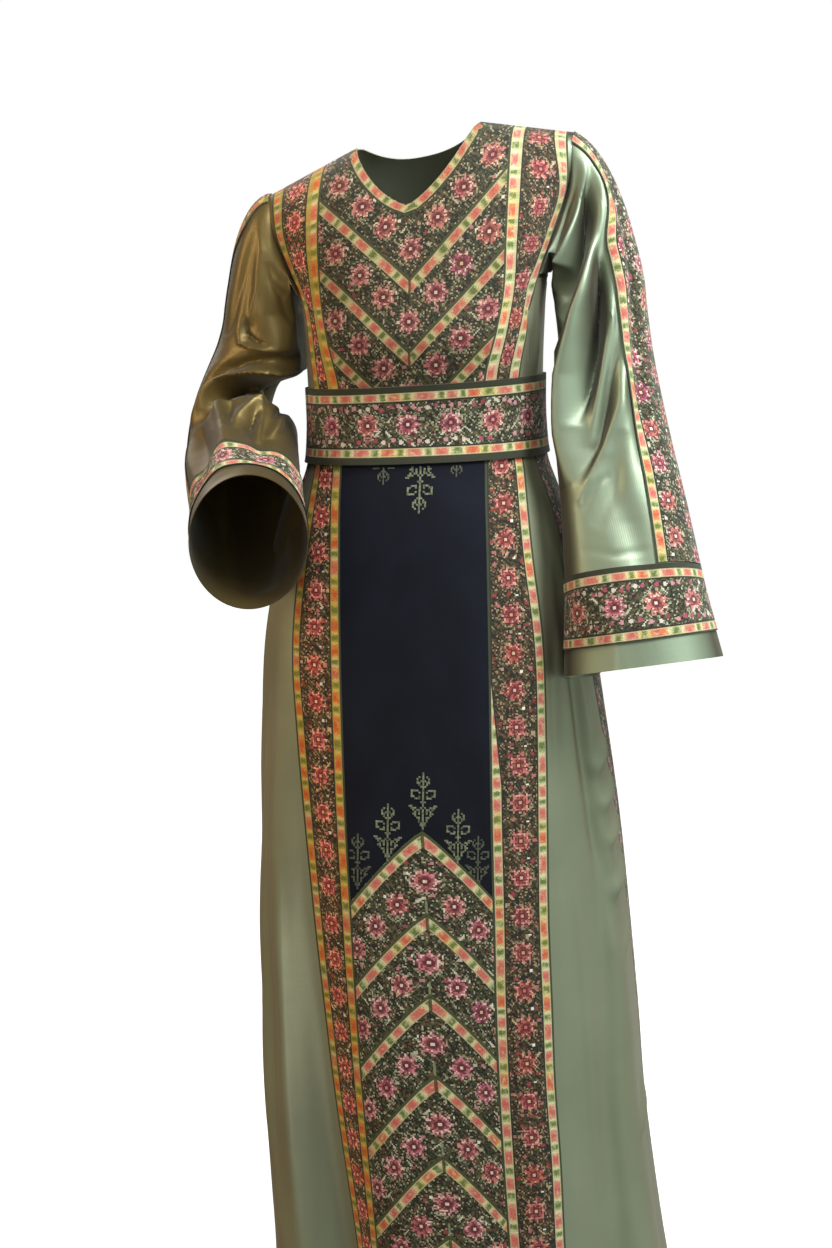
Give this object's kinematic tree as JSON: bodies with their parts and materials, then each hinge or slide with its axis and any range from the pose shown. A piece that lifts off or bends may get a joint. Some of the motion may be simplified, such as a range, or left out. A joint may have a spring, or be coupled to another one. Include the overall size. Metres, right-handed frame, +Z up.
{
  "type": "palestinian thobe dress",
  "caption": "Long belted thobe dress in satin with embroidered front panels, side panels, wide hanging sleeves and cuffs, in the hollow form it has when worn.",
  "frame": {"origin": "base of the neck, midway between the shoulders, where the wearer holds the dress up", "axes": "+Z up, -Y to the front of the garment, +X to the wearer's left"},
  "size_m": [0.6492, 0.4785, 1.444],
  "materials": {
    "satin": "smooth sage green satin with a two-tone sheen",
    "navy_cloth": "matt, very dark navy plain weave",
    "embroidery": "dense cross-stitch of rosettes on a dark ground, with pink, cream and yellow-green edgings"
  },
  "bodies": {
    "root": {"chest_panel": "embroidery", "skirt_front": "navy_cloth", "hem_panel": "embroidery", "front_band_l": "embroidery", "front_band_r": "embroidery", "bodice_side_l": "satin", "bodice_side_r": "satin", "bodice_back": "satin", "skirt_gore_l": "satin", "skirt_gore_r": "satin", "side_panel_l": "embroidery", "side_panel_r": "embroidery", "skirt_back": "satin", "sleeve_l": "satin", "sleeve_r": "satin", "sleeve_band_l": "embroidery", "sleeve_band_r": "embroidery", "cuff_l": "embroidery", "cuff_r": "embroidery", "belt": "embroidery"}
  },
  "joints": []
}
